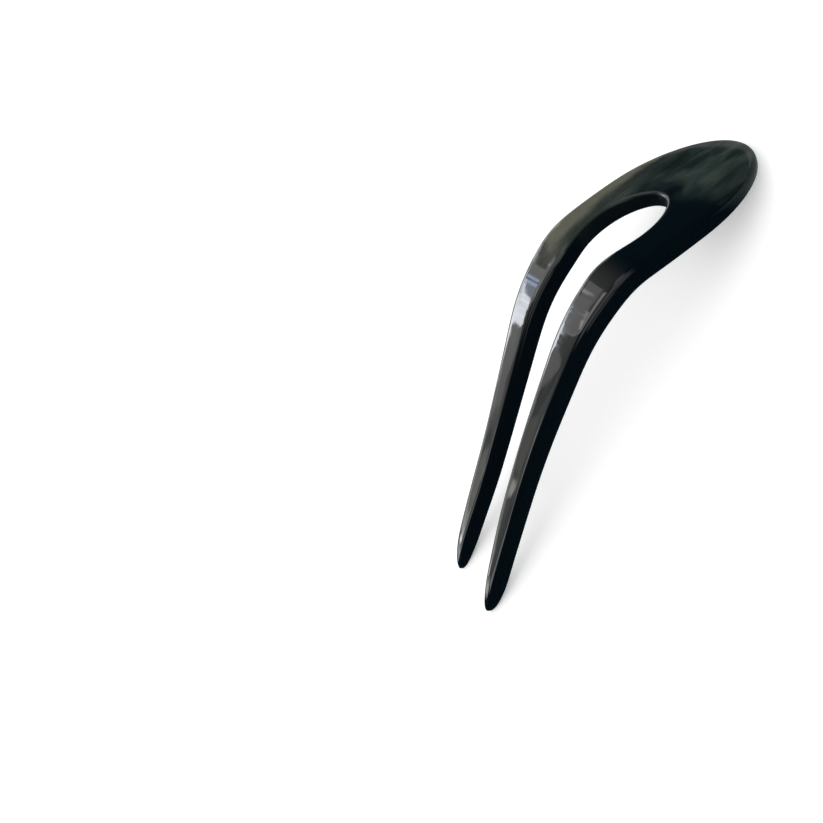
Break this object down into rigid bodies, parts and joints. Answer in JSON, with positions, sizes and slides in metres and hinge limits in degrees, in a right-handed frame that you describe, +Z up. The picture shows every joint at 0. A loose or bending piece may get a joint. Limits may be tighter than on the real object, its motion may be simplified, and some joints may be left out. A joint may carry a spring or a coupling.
{
  "type": "hair fork",
  "caption": "Curved french hair pin: a flat oval crown with a rounded slot, bent at the knee into two long prongs with spear tips, in polished dark horn.",
  "frame": {"origin": "on the surface that the pin lies on, under the middle of its box", "axes": "+X across the pin, from one prong to the other; -Y towards the tips of the prongs; +Z up, out of the outside of the bend"},
  "size_m": [0.031, 0.1102, 0.0221],
  "materials": {
    "horn": "polished dark horn, nearly black, with faint olive and brown streaks along the pin"
  },
  "bodies": {
    "root": {"hair_fork": "horn"}
  },
  "joints": []
}
